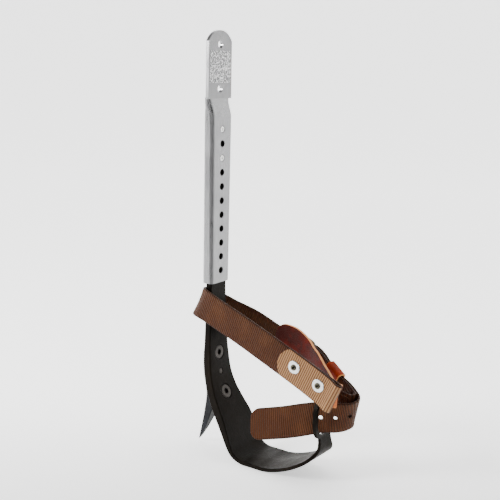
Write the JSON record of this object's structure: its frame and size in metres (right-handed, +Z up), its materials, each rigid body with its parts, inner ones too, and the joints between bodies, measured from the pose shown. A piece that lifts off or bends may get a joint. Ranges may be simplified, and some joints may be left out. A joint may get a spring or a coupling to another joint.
{
  "type": "tree climbing spur",
  "caption": "Strap-on climber for one leg: forged stirrup and shank, gaff, height-adjustable sleeve for a calf pad, and a webbing ankle strap with roller buckle.",
  "frame": {"origin": "middle of the footplate's flat top, where the boot's arch rests", "axes": "+Z up along the shank, +X from the shank on the inside of the leg to the eye on the outside, +Y towards the back run with the buckle"},
  "size_m": [0.1716, 0.0698, 0.3817],
  "materials": {
    "climber_frame": "black oxide forging steel, rubbed at the edges",
    "strap_loop": "black oxide wire loop",
    "gaff": "dark forged tool steel",
    "gaff_screw_upper": "dark zinc",
    "gaff_screw_lower": "dark zinc",
    "gaff_locating_pin": "dark zinc",
    "sleeve_screw_upper": "bright zinc",
    "sleeve_screw_lower": "bright zinc",
    "ankle_strap": "brown ribbed nylon webbing",
    "buckle_strap": "brown ribbed nylon webbing",
    "leather_guard": "red-brown oiled leather with a raw edge",
    "rivet_left": "nickel plate",
    "rivet_right": "nickel plate",
    "rivet_washer_left": "nickel plate",
    "rivet_washer_right": "nickel plate",
    "rivet_burr_left": "nickel plate",
    "rivet_burr_right": "nickel plate",
    "sleeve": "satin bright plate",
    "buckle_frame": "olive-grey plate",
    "buckle_tongue": "olive-grey plate",
    "buckle_roller": "olive-grey plate",
    "leather_keeper": "red-brown oiled leather with a raw edge"
  },
  "bodies": {
    "climber": {"climber_frame": "climber_frame", "strap_loop": "strap_loop", "gaff": "gaff", "gaff_screw_upper": "gaff_screw_upper", "gaff_screw_lower": "gaff_screw_lower", "gaff_locating_pin": "gaff_locating_pin", "sleeve_screw_upper": "sleeve_screw_upper", "sleeve_screw_lower": "sleeve_screw_lower", "ankle_strap": "ankle_strap", "buckle_strap": "buckle_strap", "leather_guard": "leather_guard", "rivet_left": "rivet_left", "rivet_right": "rivet_right", "rivet_washer_left": "rivet_washer_left", "rivet_washer_right": "rivet_washer_right", "rivet_burr_left": "rivet_burr_left", "rivet_burr_right": "rivet_burr_right"},
    "height_sleeve": {"sleeve": "sleeve"},
    "buckle": {"buckle_frame": "buckle_frame"},
    "tongue": {"buckle_tongue": "buckle_tongue"},
    "roller": {"buckle_roller": "buckle_roller"},
    "keeper": {"leather_keeper": "leather_keeper"}
  },
  "joints": [
    {"name": "sleeve_slide", "type": "slide", "parent": "climber", "child": "height_sleeve", "axis": [0, 0, 1], "range_m": [0, 0.0762]},
    {"name": "buckle_hinge", "type": "hinge", "parent": "climber", "child": "buckle", "pos_m": [0.0174, 0.0345, 0.0872], "axis": [-0.3582, 0.0125, -0.9336], "range_deg": [0, 8]},
    {"name": "tongue_hinge", "type": "hinge", "parent": "buckle", "child": "tongue", "pos_m": [0.0174, 0.0345, 0.0872], "axis": [-0.3582, 0.0125, -0.9336], "range_deg": [0, 6]},
    {"name": "roller_spin", "type": "hinge", "parent": "buckle", "child": "roller", "pos_m": [-0.00771, 0.03758, 0.09688], "axis": [0.3582, -0.0125, 0.9336], "continuous": true},
    {"name": "keeper_slide", "type": "slide", "parent": "climber", "child": "keeper", "axis": [0.8373, -0.3047, -0.454], "range_m": [-0.003, 0]}
  ]
}
